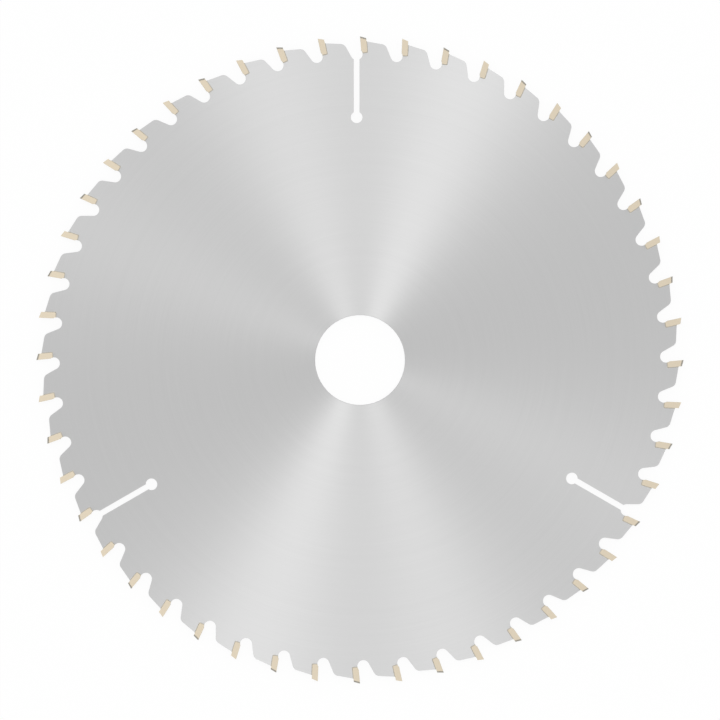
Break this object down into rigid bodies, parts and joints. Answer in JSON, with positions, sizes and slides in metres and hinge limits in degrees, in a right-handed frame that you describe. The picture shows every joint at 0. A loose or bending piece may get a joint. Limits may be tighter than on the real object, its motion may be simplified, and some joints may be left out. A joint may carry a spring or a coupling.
{
  "type": "circular saw blade",
  "caption": "Carbide-tipped circular saw blade: a flat ground steel disc with a round arbor bore, hooked teeth, round gullets and radial expansion slots, for cutting wood.",
  "frame": {"origin": "centre of the arbor bore, at half the plate's thickness", "axes": "+Z along the arbor axis, towards the side that the picture shows, seen from which the blade turns counter-clockwise in use; +Y through the cutting corner of carbide_tip_01; the blade lies flat"},
  "size_m": [0.216, 0.216, 0.0026],
  "materials": {
    "ground_steel": "satin",
    "tungsten_carbide": "satin",
    "silver_solder": "satin"
  },
  "bodies": {
    "root": {"saw_plate": "ground_steel", "carbide_tip_01": "tungsten_carbide", "carbide_tip_02": "tungsten_carbide", "carbide_tip_03": "tungsten_carbide", "carbide_tip_04": "tungsten_carbide", "carbide_tip_05": "tungsten_carbide", "carbide_tip_06": "tungsten_carbide", "carbide_tip_07": "tungsten_carbide", "carbide_tip_08": "tungsten_carbide", "carbide_tip_09": "tungsten_carbide", "carbide_tip_10": "tungsten_carbide", "carbide_tip_11": "tungsten_carbide", "carbide_tip_12": "tungsten_carbide", "carbide_tip_13": "tungsten_carbide", "carbide_tip_14": "tungsten_carbide", "carbide_tip_15": "tungsten_carbide", "carbide_tip_16": "tungsten_carbide", "carbide_tip_17": "tungsten_carbide", "carbide_tip_18": "tungsten_carbide", "carbide_tip_19": "tungsten_carbide", "carbide_tip_20": "tungsten_carbide", "carbide_tip_21": "tungsten_carbide", "carbide_tip_22": "tungsten_carbide", "carbide_tip_23": "tungsten_carbide", "carbide_tip_24": "tungsten_carbide", "carbide_tip_25": "tungsten_carbide", "carbide_tip_26": "tungsten_carbide", "carbide_tip_27": "tungsten_carbide", "carbide_tip_28": "tungsten_carbide", "carbide_tip_29": "tungsten_carbide", "carbide_tip_30": "tungsten_carbide", "carbide_tip_31": "tungsten_carbide", "carbide_tip_32": "tungsten_carbide", "carbide_tip_33": "tungsten_carbide", "carbide_tip_34": "tungsten_carbide", "carbide_tip_35": "tungsten_carbide", "carbide_tip_36": "tungsten_carbide", "carbide_tip_37": "tungsten_carbide", "carbide_tip_38": "tungsten_carbide", "carbide_tip_39": "tungsten_carbide", "carbide_tip_40": "tungsten_carbide", "carbide_tip_41": "tungsten_carbide", "carbide_tip_42": "tungsten_carbide", "carbide_tip_43": "tungsten_carbide", "carbide_tip_44": "tungsten_carbide", "carbide_tip_45": "tungsten_carbide", "carbide_tip_46": "tungsten_carbide", "carbide_tip_47": "tungsten_carbide", "carbide_tip_48": "tungsten_carbide", "braze_joints": "silver_solder"}
  },
  "joints": []
}
